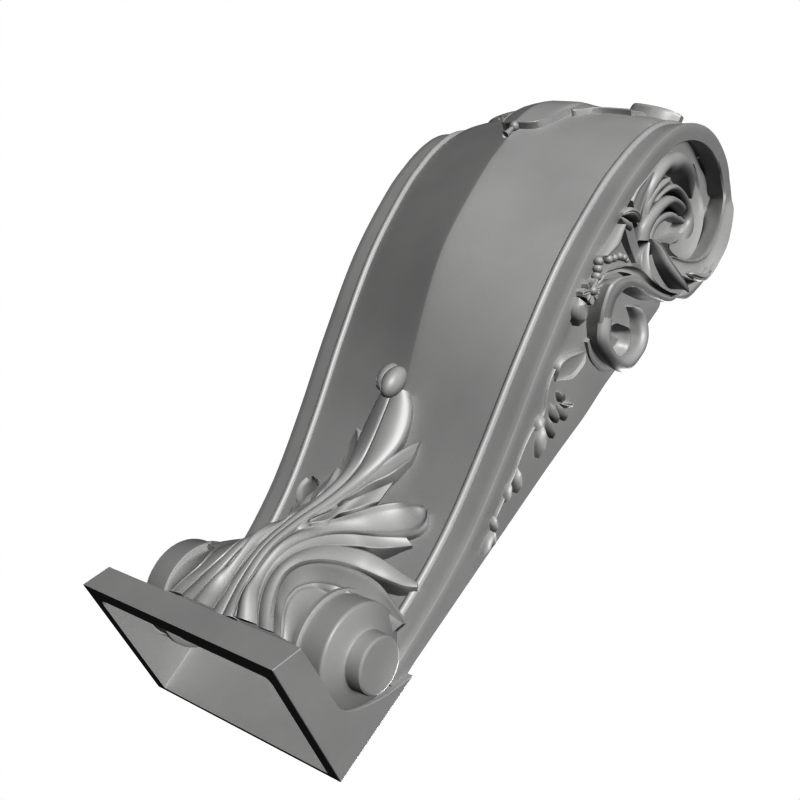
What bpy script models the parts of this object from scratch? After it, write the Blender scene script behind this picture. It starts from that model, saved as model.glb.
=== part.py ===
# Carved wall bracket with a hollow foot collar, modelled at real size in metres.
# +Z is up, the wall is the plane Y = 0 and the front faces -Y.
# The origin is the middle of the flat back, where the bracket is fixed to the wall.
import math

import bmesh
import bpy
from mathutils import Vector

# driving dimensions, with heights counted from the bottom of the back of the foot
MOUNT_HEIGHT = 0.270
GAP = 0.0003

BODY_HALF_WIDTH = 0.0805
SIDE_FLARE = 0.0649
BORDER_WIDTH = 0.0155
FILLET_WIDTH = 0.0060
FILLET_HEIGHT = 0.0022
RIDGE_RISE = 0.0205
RIDGE_START = 0.200
RIDGE_FULL = 0.350
RIDGE_FADE = 0.450
RIDGE_END = 0.545
RIDGE_LOSS = 0.45
CROWN_START = 0.475
CROWN_FULL = 0.510
RIM_WIDTH = 0.0130
RECESS_DEPTH = 0.0170
RECESS_START = 0.290
RECESS_FULL = 0.385

ROLL_RADIUS = 0.0330
ROLL_HALF_LENGTH = 0.0840
ROLL_Y = -0.0400
ROLL_Z = 0.0575
BUTTON_RADIUS = 0.0178
BUTTON_END = 0.0955
ROLL_STEPS = 28

FOOT_HALF_WIDTH = 0.0850
FOOT_DEPTH = 0.1020
FOOT_TILT = 0.0130
FOOT_WALL = 0.0088
FOOT_BACK_WALL = 0.0026
BACK_STEP = 0.040
HOLLOW_CEILING = 0.0275

SHIELD_THICKNESS = 0.0062
FLAT_ANGLE = 1.0

# the S-shaped front line of the border, from the roll up and over the crown to the wall (y, z)
FRONT_LINE = [
    (-0.0130, 0.0720), (-0.0145, 0.0900), (-0.0195, 0.1310), (-0.0285, 0.1690),
    (-0.0460, 0.2170), (-0.0705, 0.2760), (-0.0945, 0.3430), (-0.1065, 0.4050),
    (-0.1085, 0.4400), (-0.1070, 0.4670), (-0.1015, 0.4920), (-0.0905, 0.5130),
    (-0.0740, 0.5310), (-0.0530, 0.5430), (-0.0270, 0.5480), (0.0, 0.5410),
]
FRONT_STEPS = 3


def clear_scene():
    for obj in list(bpy.data.objects):
        bpy.data.objects.remove(obj, do_unlink=True)
    for mesh in list(bpy.data.meshes):
        bpy.data.meshes.remove(mesh)


def make_collection(name):
    coll = bpy.data.collections.new(name)
    bpy.context.scene.collection.children.link(coll)
    return coll


def make_material(name, color, roughness, metallic):
    mat = bpy.data.materials.new(name)
    mat.use_nodes = True
    shader = mat.node_tree.nodes["Principled BSDF"]
    shader.inputs["Base Color"].default_value = (*color, 1.0)
    shader.inputs["Roughness"].default_value = roughness
    shader.inputs["Metallic"].default_value = metallic
    mat.diffuse_color = (*color, 1.0)
    return mat


def ease(value, low, high):
    """0 below low, 1 above high and a soft step between."""
    t = min(max((value - low) / (high - low), 0.0), 1.0)
    return t * t * (3.0 - 2.0 * t)


def smooth_line(points, steps):
    """A Catmull-Rom line through the points, with the given steps between neighbours."""
    pts = [Vector(p) for p in points]
    line = []
    for i in range(len(pts) - 1):
        a = pts[max(i - 1, 0)]
        b = pts[i]
        c = pts[i + 1]
        d = pts[min(i + 2, len(pts) - 1)]
        for k in range(steps):
            t = k / steps
            line.append(0.5 * (2 * b + (c - a) * t + (2 * a - 5 * b + 4 * c - d) * t * t
                               + (3 * b - a - 3 * c + d) * t ** 3))
    line.append(pts[-1])
    return line


def half_width(z):
    return BODY_HALF_WIDTH + SIDE_FLARE * z


def foot_half_width(z):
    return FOOT_HALF_WIDTH + SIDE_FLARE * z


def ridge_rise(z):
    """How far the middle ridge of the front panel stands off the border's level."""
    rise = RIDGE_RISE * ease(z, RIDGE_START, RIDGE_FULL) * (1.0 - RIDGE_LOSS * ease(z, RIDGE_FADE, RIDGE_END))
    return rise * (1.0 - 0.7 * ease(z, 0.525, 0.548))


def panel_rise(share, z):
    """The panel's rise at a share of the way to its edge, a ridge below and a dome at the crown."""
    power = 0.84 - 0.39 * ease(z, CROWN_START, CROWN_FULL)
    return ridge_rise(z) * max(0.0, 1.0 - share) ** power


def recess_depth(z):
    return RECESS_DEPTH * ease(z, RECESS_START, RECESS_FULL)


front_line = smooth_line([(0.0, y, z) for y, z in FRONT_LINE], FRONT_STEPS)


def line_normal(index):
    """Unit normal of the front line, pointing away from the wall."""
    a = front_line[max(index - 1, 0)]
    b = front_line[min(index + 1, len(front_line) - 1)]
    along = (b - a).normalized()
    return Vector((0.0, -along.z, along.y))


def loft(name, rings, coll, mat):
    """A closed skin through rings of equal length; unlike sections need a loft."""
    mesh = bpy.data.meshes.new(name)
    bm = bmesh.new()
    rows = [[bm.verts.new(p) for p in ring] for ring in rings]
    size = len(rows[0])
    for one, two in zip(rows, rows[1:]):
        for k in range(size):
            bm.faces.new((one[k], one[(k + 1) % size], two[(k + 1) % size], two[k]))
    bm.faces.new(list(reversed(rows[0])))
    bm.faces.new(rows[-1])
    bmesh.ops.remove_doubles(bm, verts=bm.verts, dist=1e-6)
    bmesh.ops.dissolve_degenerate(bm, edges=bm.edges, dist=1e-6)
    bmesh.ops.triangulate(bm, faces=bm.faces)
    bmesh.ops.recalc_face_normals(bm, faces=bm.faces)
    bm.to_mesh(mesh)
    bm.free()
    mesh.shade_smooth()
    mesh.set_sharp_from_angle(angle=math.radians(35))
    obj = bpy.data.objects.new(name, mesh)
    obj.location = (0.0, 0.0, -MOUNT_HEIGHT)
    coll.objects.link(obj)
    mesh.materials.append(mat)
    return obj


def hide_tool(obj):
    obj.hide_render = True
    obj.display_type = "WIRE"


def panel_columns():
    """Each column of the front: its inset from the side, its share of the panel, and its stand-off."""
    inner = BORDER_WIDTH + FILLET_WIDTH
    return [
        (0.0, 1.0, 0.0), (BORDER_WIDTH, 1.0, 0.0), (BORDER_WIDTH + 0.0010, 1.0, FILLET_HEIGHT),
        (inner - 0.0012, 1.0, FILLET_HEIGHT), (inner, 1.0, 0.0),
        (inner, 0.75, 0.0), (inner, 0.4, 0.0), (inner, 0.0, 0.0),
    ]


def front_point(index, inset, share, proud):
    """A point of the carved front at one station of the front line."""
    base = front_line[index]
    x = (half_width(base.z) - inset) * share
    fade = ease(-base.y, 0.0, 0.012)
    lift = proud * fade + panel_rise(share, base.z)
    point = base + line_normal(index) * lift
    return Vector((x, min(point.y, 0.0), point.z))


def body_core(coll, mat):
    """The S-shaped block: side outlines from one side to the other, ridged in the middle."""
    columns = panel_columns()
    mirrored = [(col, -1.0) for col in columns] + [(col, 1.0) for col in reversed(columns[:-1])]
    rings = []
    for (inset, share, proud), sign in mirrored:
        ring = []
        for i in range(len(front_line)):
            p = front_point(i, inset, share, proud)
            ring.append(Vector((p.x * sign, p.y, p.z)))
        ledge = FOOT_WALL + GAP
        for y, z in ((0.0, 0.400), (0.0, 0.250), (0.0, 0.0738), (-ledge, 0.0738),
                     (-ledge, 0.0500), (ROLL_Y, 0.0500)):
            ring.append(Vector(((half_width(z) - inset) * share * sign, y, z)))
        rings.append(ring)
    return loft("bracket_body", rings, coll, mat)


def inset_line(distance, start, stop):
    """The front line moved inwards, between two of its stations."""
    return [front_line[i] - line_normal(i) * distance for i in range(start, stop)]


# the back and lower edge of the sunk side panel, from the crown down to its fading end (y, z)
PANEL_RETURN = [
    (-0.0100, 0.5050), (-0.0100, 0.4500), (-0.0220, 0.4200), (-0.0480, 0.3900),
    (-0.0560, 0.3500), (-0.0400, 0.3050), (-0.0340, 0.2700),
]


def recess_cutter(sign, coll, mat):
    """The sunk side panel, deep in the volute and fading out towards the foot."""
    start = next(i for i, p in enumerate(front_line) if p.z > 0.262)
    stop = next(i for i, p in enumerate(front_line) if p.z > 0.530 and p.y > -0.030)
    edge = inset_line(RIM_WIDTH, start, stop)
    edge += smooth_line([(0.0, y, z) for y, z in PANEL_RETURN], 2)
    inner = []
    outer = []
    for p in edge:
        wall = half_width(p.z)
        inner.append(Vector((sign * (wall - recess_depth(p.z) + 0.0004), p.y, p.z)))
        outer.append(Vector((sign * (wall + 0.030), p.y, p.z)))
    obj = loft("side_panel_cutter_" + ("right" if sign > 0 else "left"), [inner, outer], coll, mat)
    hide_tool(obj)
    return obj


def turned_profile():
    """Radius against distance from the middle, for one half of the roll."""
    r = ROLL_RADIUS
    end = ROLL_HALF_LENGTH
    return [
        (0.000, 0.0340), (r - 0.003, 0.0340), (r - 0.003, 0.0565), (r + 0.0015, 0.0575),
        (r + 0.0015, 0.0605), (r, 0.0615), (r, end - 0.0050), (r - 0.0015, end - 0.0015),
        (r - 0.0080, end + 0.0005), (BUTTON_RADIUS + 0.0005, end + 0.0010),
        (BUTTON_RADIUS, BUTTON_END - 0.0018), (BUTTON_RADIUS - 0.0018, BUTTON_END), (0.0, BUTTON_END),
    ]


def roll_end(sign, coll, mat):
    """One turned end of the roll, a ring, a barrel, a coned face and a button."""
    steps = ROLL_STEPS
    rings = []
    for radius, along in turned_profile()[1:-1]:
        ring = []
        for k in range(steps):
            angle = 2 * math.pi * k / steps
            ring.append(Vector((sign * along, ROLL_Y + radius * math.cos(angle),
                                ROLL_Z + radius * math.sin(angle))))
        rings.append(ring)
    obj = loft("roll_end_" + ("right" if sign > 0 else "left"), rings, coll, mat)
    hide_tool(obj)
    return obj


def roll_middle(coll, mat):
    """The middle of the roll, under the leaf."""
    steps = 32
    rings = []
    for along in (-0.0350, 0.0350):
        rings.append([Vector((along, ROLL_Y + (ROLL_RADIUS - 0.001) * math.cos(2 * math.pi * k / steps),
                              ROLL_Z + (ROLL_RADIUS - 0.001) * math.sin(2 * math.pi * k / steps)))
                      for k in range(steps)])
    obj = loft("roll_middle", rings, coll, mat)
    hide_tool(obj)
    return obj


def frame_along(path, index, outward):
    """The side direction and the outward direction of a path at one point."""
    a = path[max(index - 1, 0)]
    b = path[min(index + 1, len(path) - 1)]
    along = (b - a).normalized()
    side = along.cross(outward).normalized()
    return side, side.cross(along).normalized()


def rib(name, points, widths, heights, outward, coll, mat, steps=3, sides=6, sink=0.0030):
    """A carved rib: a path with a domed section, sunk a little into what it springs from."""
    path = smooth_line(points, steps)
    last = len(path) - 1
    rings = []
    for i in range(len(path)):
        t = i / last
        pos = t * (len(widths) - 1)
        k = min(int(pos), len(widths) - 2)
        width = widths[k] + (widths[k + 1] - widths[k]) * (pos - k)
        height = heights[k] + (heights[k + 1] - heights[k]) * (pos - k)
        side, up = frame_along(path, i, outward(path[i]))
        ring = []
        for j in range(sides):
            angle = math.pi * j / (sides - 1)
            ring.append(path[i] + side * math.cos(angle) * width + up * math.sin(angle) * height)
        ring.append(path[i] - side * width * 0.85 - up * sink)
        ring.append(path[i] + side * width * 0.85 - up * sink)
        rings.append(ring)
    obj = loft(name, rings, coll, mat)
    hide_tool(obj)
    return obj


# the leaf's side lobes, one side: base x, height of the turn, tip (x, y, z), widths, heights
LEAF_LOBES = [
    (0.010, (0.026, -0.047, 0.207), 0.0085),
    (0.016, (0.033, -0.043, 0.189), 0.0085),
    (0.025, (0.056, -0.035, 0.163), 0.0150),
    (0.034, (0.058, -0.028, 0.141), 0.0110),
    (0.043, (0.074, -0.024, 0.117), 0.0130),
    (0.053, (0.079, -0.022, 0.096), 0.0110),
]


def leaf_outward(p):
    """Outward from the front of the roll and the panel above it."""
    away = Vector((0.0, p.y - ROLL_Y, p.z - ROLL_Z))
    away = away.normalized() if away.length > 1e-6 else Vector((0.0, -1.0, 0.0))
    blend = ease(p.z, 0.070, 0.130)
    return (away * (1.0 - blend) + Vector((0.0, -0.93, -0.36)) * blend).normalized()


def leaf(coll, mat):
    """The acanthus leaf that wraps the roll and climbs the panel to a curled tip."""
    pieces = []
    spine = [(0.0, -0.0660, 0.0300), (0.0, -0.0740, 0.0480), (0.0, -0.0760, 0.0700),
             (0.0, -0.0730, 0.0930), (0.0, -0.0640, 0.1170), (0.0, -0.0545, 0.1400),
             (0.0, -0.0475, 0.1640), (0.0, -0.0500, 0.1900), (0.0, -0.0560, 0.2080),
             (0.0, -0.0640, 0.2230), (0.0, -0.0720, 0.2350)]
    pieces.append(rib("leaf_spine", spine, [0.0180, 0.0170, 0.0150, 0.0120, 0.0140, 0.0110, 0.0050],
                      [0.0060, 0.0060, 0.0055, 0.0050, 0.0045, 0.0035, 0.0030],
                      leaf_outward, coll, mat, steps=2, sides=7, sink=0.0300))
    for sign in (-1.0, 1.0):
        for n, (base, tip, width) in enumerate(LEAF_LOBES):
            shift = base * sign
            low = Vector((shift, -0.0660, 0.0300))
            front = Vector((shift * 1.03, -0.0725, 0.0560))
            turn_z = 0.078 + 0.030 * (1.0 - n / 5.0)
            turn = Vector((shift * 0.95, -0.0660 + 0.006 * n / 5.0, turn_z))
            end = Vector((tip[0] * sign, tip[1], tip[2]))
            bend = turn.lerp(end, 0.5) + Vector((0.0, -0.0050, 0.0))
            pieces.append(rib("leaf_lobe_%d_%s" % (n, "right" if sign > 0 else "left"),
                              [low, front, turn, bend, end],
                              [0.0070, 0.0075, 0.0085, width, width * 0.45],
                              [0.0050, 0.0055, 0.0060, 0.0055, 0.0030],
                              leaf_outward, coll, mat, steps=2, sides=4, sink=0.0220))
    pieces.append(ball("leaf_ball", Vector((0.0, -0.0760, 0.2370)), (0.0110, 0.0085, 0.0090), coll, mat))
    return pieces


def ball(name, center, radii, coll, mat, segments=10, rings=6):
    """A rounded knob, from a sphere."""
    mesh = bpy.data.meshes.new(name)
    bm = bmesh.new()
    bmesh.ops.create_uvsphere(bm, u_segments=segments, v_segments=rings, radius=1.0)
    for v in bm.verts:
        v.co = Vector((v.co.x * radii[0], v.co.y * radii[1], v.co.z * radii[2])) + center
    bmesh.ops.triangulate(bm, faces=bm.faces)
    bm.to_mesh(mesh)
    bm.free()
    mesh.shade_smooth()
    obj = bpy.data.objects.new(name, mesh)
    obj.location = (0.0, 0.0, -MOUNT_HEIGHT)
    coll.objects.link(obj)
    mesh.materials.append(mat)
    hide_tool(obj)
    return obj


# the side scroll, from the crown down the back of the volute and round:
# y, z, stand-off, half width, extra stand-off of its outer edge
SCROLL_PATH = [
    (-0.0300, 0.5370, -0.0015, 0.0060, 0.0000), (-0.0130, 0.5320, 0.0005, 0.0060, 0.0010),
    (-0.0072, 0.5130, 0.0080, 0.0058, 0.0035), (-0.0070, 0.4850, 0.0165, 0.0060, 0.0055),
    (-0.0080, 0.4580, 0.0215, 0.0070, 0.0060), (-0.0150, 0.4330, 0.0215, 0.0080, 0.0040),
    (-0.0320, 0.4095, 0.0190, 0.0085, 0.0015), (-0.0520, 0.3880, 0.0140, 0.0075, 0.0000),
    (-0.0650, 0.3670, 0.0110, 0.0063, 0.0000), (-0.0655, 0.3460, 0.0095, 0.0060, 0.0000),
    (-0.0530, 0.3305, 0.0095, 0.0063, 0.0000), (-0.0330, 0.3265, 0.0100, 0.0068, 0.0000),
    (-0.0160, 0.3365, 0.0105, 0.0073, 0.0000), (-0.0100, 0.3570, 0.0105, 0.0070, 0.0000),
    (-0.0170, 0.3735, 0.0100, 0.0058, 0.0000), (-0.0300, 0.3745, 0.0085, 0.0040, 0.0000),
]


def side_scroll(sign, coll, mat):
    """The bold strap of the volute, which runs on as an S into the small lower scroll."""
    path = smooth_line([(stand, y, z) for y, z, stand, half, tilt in SCROLL_PATH], 2)
    last = len(path) - 1
    bevel = 0.0018
    rings = []
    for i, p in enumerate(path):
        pos = i / last * (len(SCROLL_PATH) - 1)
        k = min(int(pos), len(SCROLL_PATH) - 2)
        half = SCROLL_PATH[k][3] + (SCROLL_PATH[k + 1][3] - SCROLL_PATH[k][3]) * (pos - k)
        tilt = SCROLL_PATH[k][4] + (SCROLL_PATH[k + 1][4] - SCROLL_PATH[k][4]) * (pos - k)
        a = path[max(i - 1, 0)]
        b = path[min(i + 1, last)]
        along = Vector((0.0, b.y - a.y, b.z - a.z)).normalized()
        side = Vector((0.0, -along.z, along.y))
        ring = []
        for across, lift in ((-half, None), (-half, -bevel), (-half + bevel, 0.0),
                             (half - bevel, 0.0), (half, -bevel), (half, None)):
            q = Vector((0.0, p.y, p.z)) + side * across
            y = min(q.y, -0.0004)
            wall = half_width(q.z)
            top = wall + p.x + tilt * across / half
            x = wall - RECESS_DEPTH - 0.006 if lift is None else top + lift
            ring.append(Vector((sign * x, y, q.z)))
        rings.append(ring)
    obj = loft("side_scroll_" + ("right" if sign > 0 else "left"), rings, coll, mat)
    hide_tool(obj)
    return obj


# curling leaves inside the volute: points (y, z, stand-off), half widths
VOLUTE_LEAVES = [
    ("top_lobe", [(-0.083, 0.408, -0.012), (-0.084, 0.440, -0.008), (-0.070, 0.478, -0.005),
                  (-0.046, 0.492, -0.005), (-0.028, 0.474, -0.009)], [0.006, 0.012, 0.014, 0.011, 0.005]),
    ("middle_leaf", [(-0.074, 0.404, -0.010), (-0.070, 0.430, -0.005), (-0.056, 0.450, -0.003),
                     (-0.038, 0.452, -0.008)], [0.005, 0.008, 0.009, 0.004]),
    ("inner_hook", [(-0.034, 0.486, -0.010), (-0.022, 0.462, -0.007), (-0.024, 0.438, -0.006),
                    (-0.036, 0.424, -0.010)], [0.005, 0.007, 0.007, 0.003]),
    ("pod", [(-0.064, 0.424, -0.010), (-0.050, 0.408, 0.004), (-0.036, 0.400, 0.010)],
     [0.003, 0.006, 0.004]),
]

# the hanging garland on the side panel: centre (y, z), half length, half width, stand-off
GARLAND = [
    (-0.0880, 0.3780, 0.0160, 0.0080, 0.0060), (-0.0830, 0.3560, 0.0090, 0.0090, 0.0050),
    (-0.0760, 0.3360, 0.0120, 0.0100, 0.0050), (-0.0690, 0.3180, 0.0110, 0.0060, 0.0050),
    (-0.0500, 0.2960, 0.0160, 0.0100, 0.0050), (-0.0420, 0.2660, 0.0120, 0.0100, 0.0045),
    (-0.0340, 0.2430, 0.0120, 0.0075, 0.0045), (-0.0240, 0.2110, 0.0110, 0.0050, 0.0035),
    (-0.0150, 0.1810, 0.0100, 0.0040, 0.0030),
]


def side_leaves(sign, coll, mat):
    """The curling leaves of the volute and the buds of the garland."""
    tag = "right" if sign > 0 else "left"
    outward = Vector((sign, 0.0, 0.0))
    for name, line, widths in VOLUTE_LEAVES:
        points = [Vector((sign * (half_width(z) + off), y, z)) for y, z, off in line]
        rib("%s_%s" % (name, tag), points, widths, [w * 0.7 for w in widths],
            lambda p: outward, coll, mat, steps=2, sides=4, sink=0.0140)
    for n, (y, z, length, width, stand) in enumerate(GARLAND):
        floor = half_width(z) - recess_depth(z)
        tilt = Vector((0.0, -0.35, 1.0)).normalized()
        base = Vector((sign * (floor + 0.0008), y, z))
        points = [base + tilt * length, base, base - tilt * length]
        rib("garland_%d_%s" % (n, tag), points, [width * 0.35, width, width * 0.25],
            [stand * 0.5, stand, stand * 0.4], lambda p: outward, coll, mat, steps=2, sides=4, sink=0.0030)


# lower edge of the crest shield: distance from the middle against distance up the front line
SHIELD_EDGE = [(0.000, 0.000), (0.011, 0.002), (0.021, 0.017), (0.026, 0.038), (0.050, 0.046), (0.068, 0.050)]
SHIELD_LOW = 0.456
SHIELD_ROWS = 6
SHIELD_TOP = 0.125


def shield_low(x):
    """How far up the front line the shield begins, at a distance x from the middle."""
    x = min(abs(x), SHIELD_EDGE[-1][0])
    for (x0, s0), (x1, s1) in zip(SHIELD_EDGE, SHIELD_EDGE[1:]):
        if x <= x1:
            t = (x - x0) / (x1 - x0)
            return s0 + (s1 - s0) * t
    return SHIELD_EDGE[-1][1]


def walk_front(distance):
    """The station and share of a step at a distance up the front line from the shield's tip."""
    start = min(range(len(front_line)), key=lambda i: abs(front_line[i].z - SHIELD_LOW) + (front_line[i].y > -0.05))
    index = start
    left = distance
    while index < len(front_line) - 2:
        step = (front_line[index + 1] - front_line[index]).length
        if left <= step:
            return index, left / step
        left -= step
        index += 1
    return index, 1.0


def front_surface(x, distance, lift):
    """A point over the front panel, at x from the middle and a distance up from the shield's tip."""
    i, t = walk_front(distance)
    base = front_line[i].lerp(front_line[i + 1], t)
    normal = line_normal(i).lerp(line_normal(i + 1), t).normalized()
    panel = half_width(base.z) - BORDER_WIDTH - FILLET_WIDTH
    point = base + normal * (panel_rise(abs(x) / panel, base.z) + lift)
    return Vector((x, point.y, point.z))


def crest_shield(coll, mat):
    """The raised shield on the crown, with a wavy lower edge and a small ball at its tip."""
    top = SHIELD_TOP
    half = SHIELD_EDGE[-1][0]
    columns = 13
    rings = []
    for c in range(columns):
        x = -half + 2 * half * c / (columns - 1)
        low = shield_low(x)
        ring = [front_surface(x, low + (top - low) * r / (SHIELD_ROWS - 1), -0.004) for r in range(SHIELD_ROWS)]
        ring += [front_surface(x, low + (top - low) * r / (SHIELD_ROWS - 1), SHIELD_THICKNESS)
                 for r in reversed(range(SHIELD_ROWS))]
        rings.append([Vector((p.x, min(p.y, -0.0004), p.z)) for p in ring])
    obj = loft("crest_shield", rings, coll, mat)
    hide_tool(obj)
    ball("crest_tip", front_surface(0.0, 0.0, 0.0030), (0.0042, 0.0042, 0.0045), coll, mat, segments=8, rings=6)
    for sign in (-1.0, 1.0):
        tag = "right" if sign > 0 else "left"
        ball("crest_ear_" + tag, front_surface(sign * 0.078, 0.076, 0.003), (0.0210, 0.0085, 0.0120), coll, mat)


def bar(name, outline, reach, coll, mat):
    """A side outline (y, z) carried from one side to the other; reach gives its half width at z."""
    rings = [[Vector((sign * reach(z), y, z)) for y, z in outline] for sign in (-1.0, 1.0)]
    return loft(name, rings, coll, mat)


def arc(center, radius, start, stop, steps):
    """Points (y, z) on an arc, with angles in degrees from +Y towards +Z."""
    points = []
    for k in range(steps + 1):
        angle = math.radians(start + (stop - start) * k / steps)
        points.append((center[0] + radius * math.cos(angle), center[1] + radius * math.sin(angle)))
    return points


# the top edge of the collar's side, from behind its front corner to the wall (y, z)
FOOT_TOP_EDGE = [
    (-0.0900, 0.0318), (-0.0650, 0.0295), (-0.0440, 0.0270), (-0.0330, 0.0290),
    (-0.0220, 0.0385), (-0.0110, 0.0530), (-0.0030, 0.0680), (0.0, 0.0735),
]


def foot_outline():
    """Side outline of the collar: a low front, a dip under the roll and a back that climbs the wall."""
    cradle = smooth_line([(0.0, y, z) for y, z in FOOT_TOP_EDGE], 3)
    outline = [(0.0, 0.0), (-FOOT_DEPTH, FOOT_TILT), (-FOOT_DEPTH + 0.0075, FOOT_TILT + 0.0190)]
    return outline + [(p.y, p.z) for p in cradle]


def foot_collar(coll, tools, mat):
    """The hollow foot: four walls open below and above, with the roll bedded in their top edges."""
    foot = bar("foot_collar", foot_outline(), foot_half_width, coll, mat)
    wall = FOOT_WALL
    slope = FOOT_TILT / FOOT_DEPTH
    front = -FOOT_DEPTH + wall
    thin = FOOT_BACK_WALL
    hollow = [(-thin, -0.010), (front, -0.010 + slope * -front), (front + 0.0075, 0.050),
              (front + 0.0080, 0.120), (-wall, 0.120), (-wall, BACK_STEP + 0.006), (-thin, BACK_STEP)]
    cut = bar("hollow_cutter", hollow, lambda z: foot_half_width(z) - wall, tools, mat)
    edges = cut.modifiers.new("round_corners", "BEVEL")
    edges.width = 0.0050
    edges.segments = 3
    edges.limit_method = "ANGLE"
    edges.angle_limit = math.radians(60)
    bed = arc((ROLL_Y, ROLL_Z), ROLL_RADIUS + 0.0015 + GAP, 0.0, 348.75, 31)
    bed_cut = bar("bed_cutter", bed, lambda z: ROLL_HALF_LENGTH + 0.0010 + GAP, tools, mat)
    back = [(-wall - 0.001, 0.0735), (-wall - 0.001, 0.090), (0.004, 0.090), (0.004, 0.0735)]
    back_cut = bar("back_cutter", back, lambda z: foot_half_width(z) + 0.01, tools, mat)
    corner = foot.modifiers.new("soft_edges", "BEVEL")
    corner.width = 0.0026
    corner.segments = 3
    corner.limit_method = "ANGLE"
    corner.angle_limit = math.radians(60)
    for tool in (cut, bed_cut, back_cut):
        hide_tool(tool)
        step = foot.modifiers.new("cut_" + tool.name, "BOOLEAN")
        step.operation = "DIFFERENCE"
        step.solver = "EXACT"
        step.object = tool
    join_flats(foot)
    return foot


def carve_body(body, tools, carving, mat):
    """Sinks the side panels, joins the carving to the block and cuts the underside flat."""
    for obj in list(tools.objects):
        cut = body.modifiers.new("sink_" + obj.name, "BOOLEAN")
        cut.operation = "DIFFERENCE"
        cut.solver = "EXACT"
        cut.object = obj
    join = body.modifiers.new("join_carving", "BOOLEAN")
    join.operation = "UNION"
    join.solver = "EXACT"
    join.operand_type = "COLLECTION"
    join.collection = carving
    under = [(-0.120, -0.010), (-0.120, HOLLOW_CEILING), (0.010, HOLLOW_CEILING), (0.010, -0.010)]
    inner = foot_half_width(HOLLOW_CEILING) - FOOT_WALL - GAP
    flat_cut = bar("underside_cutter", under, lambda z: inner, tools, mat)
    hide_tool(flat_cut)
    trim = body.modifiers.new("flat_underside", "BOOLEAN")
    trim.operation = "DIFFERENCE"
    trim.solver = "EXACT"
    trim.object = flat_cut
    join_flats(body)


def join_flats(obj):
    """Joins the flat faces that the cuts leave in pieces."""
    flat = obj.modifiers.new("join_flats", "DECIMATE")
    flat.decimate_type = "DISSOLVE"
    flat.angle_limit = math.radians(FLAT_ANGLE)


def main():
    clear_scene()
    parts = make_collection("carved_bracket")
    tools = make_collection("cutters")
    carving = make_collection("carving")
    stone = make_material("cast_stone", (0.42, 0.42, 0.42), 0.75, 0.0)
    body = body_core(parts, stone)
    recess_cutter(1.0, tools, stone)
    recess_cutter(-1.0, tools, stone)
    roll_middle(carving, stone)
    for sign in (-1.0, 1.0):
        roll_end(sign, carving, stone)
        side_scroll(sign, carving, stone)
        side_leaves(sign, carving, stone)
    leaf(carving, stone)
    crest_shield(carving, stone)
    carve_body(body, tools, carving, stone)
    foot_collar(parts, tools, stone)


main()
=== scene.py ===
import math
import bmesh
import bpy
import numpy as np
from mathutils import Matrix, Vector


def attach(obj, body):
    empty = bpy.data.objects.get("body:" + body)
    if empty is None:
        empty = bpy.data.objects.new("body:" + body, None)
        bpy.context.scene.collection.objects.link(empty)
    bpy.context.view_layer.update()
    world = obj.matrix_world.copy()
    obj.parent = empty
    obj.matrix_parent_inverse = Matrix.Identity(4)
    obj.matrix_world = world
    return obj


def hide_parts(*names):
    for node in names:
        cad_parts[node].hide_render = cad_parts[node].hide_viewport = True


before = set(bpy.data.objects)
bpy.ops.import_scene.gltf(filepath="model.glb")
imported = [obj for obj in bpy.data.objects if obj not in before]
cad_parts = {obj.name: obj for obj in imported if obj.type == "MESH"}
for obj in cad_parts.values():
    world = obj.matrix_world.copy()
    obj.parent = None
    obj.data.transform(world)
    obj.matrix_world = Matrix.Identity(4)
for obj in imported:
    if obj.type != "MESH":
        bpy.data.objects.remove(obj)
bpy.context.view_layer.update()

scene = bpy.context.scene

# the carving is in millimetres, with heights counted from the bottom of the back of the foot;
# the finish, the studio and the viewpoint are in metres
units = {"millimetre": 0.001, "mountHeight": 270.0}

# lines and shapes


def ease(value, low, high):  # 0 below low, 1 above high, soft between
    t = min(max((value - low) / (high - low), 0.0), 1.0)
    return t * t * (3.0 - 2.0 * t)


def smoothLine(points, count):  # an even line of count steps through the points
    p = np.array(points, float)
    if len(p) == 2:
        return p[0] + (p[1] - p[0]) * np.linspace(0.0, 1.0, count + 1)[:, None]
    ends = np.vstack([2 * p[0] - p[1], p, 2 * p[-1] - p[-2]])
    fine = []
    for a, b, c, d in zip(ends, ends[1:], ends[2:], ends[3:]):
        for t in np.linspace(0.0, 1.0, 12, endpoint=False):
            fine.append(0.5 * (2 * b + (c - a) * t + (2 * a - 5 * b + 4 * c - d) * t * t
                               + (3 * b - a - 3 * c + d) * t ** 3))
    fine.append(p[-1])
    fine = np.array(fine)
    run = np.concatenate([[0.0], np.cumsum(np.linalg.norm(np.diff(fine[:, :3], axis=0), axis=1))])
    even = np.linspace(0.0, run[-1], count + 1)
    return np.stack([np.interp(even, run, fine[:, k]) for k in range(fine.shape[1])], axis=1)


def unit(v):
    return v / max(np.linalg.norm(v), 1e-9)


def gridShape(rows):  # a grid whose corners are put where the rows say
    across = len(rows[0]) - 1
    along = len(rows) - 1
    bm = bmesh.new()
    bmesh.ops.create_grid(bm, x_segments=along, y_segments=across, size=0.5)
    for vert in bm.verts:
        i = round((vert.co.x + 0.5) * along)
        j = round((vert.co.y + 0.5) * across)
        vert.co = Vector(rows[i][j])
    return bm


def closedShape(rings):  # a skin through closed rings, drawn together at both ends
    rows = [list(ring) + [ring[0]] for ring in rings]
    first = np.mean(np.array(rings[0]), axis=0)
    last = np.mean(np.array(rings[-1]), axis=0)
    rows = [[first] * len(rows[0])] + rows + [[last] * len(rows[0])]
    bm = gridShape(rows)
    bmesh.ops.remove_doubles(bm, verts=bm.verts, dist=0.002)
    bmesh.ops.dissolve_degenerate(bm, edges=bm.edges, dist=0.001)
    bmesh.ops.recalc_face_normals(bm, faces=bm.faces)
    return bm


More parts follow.
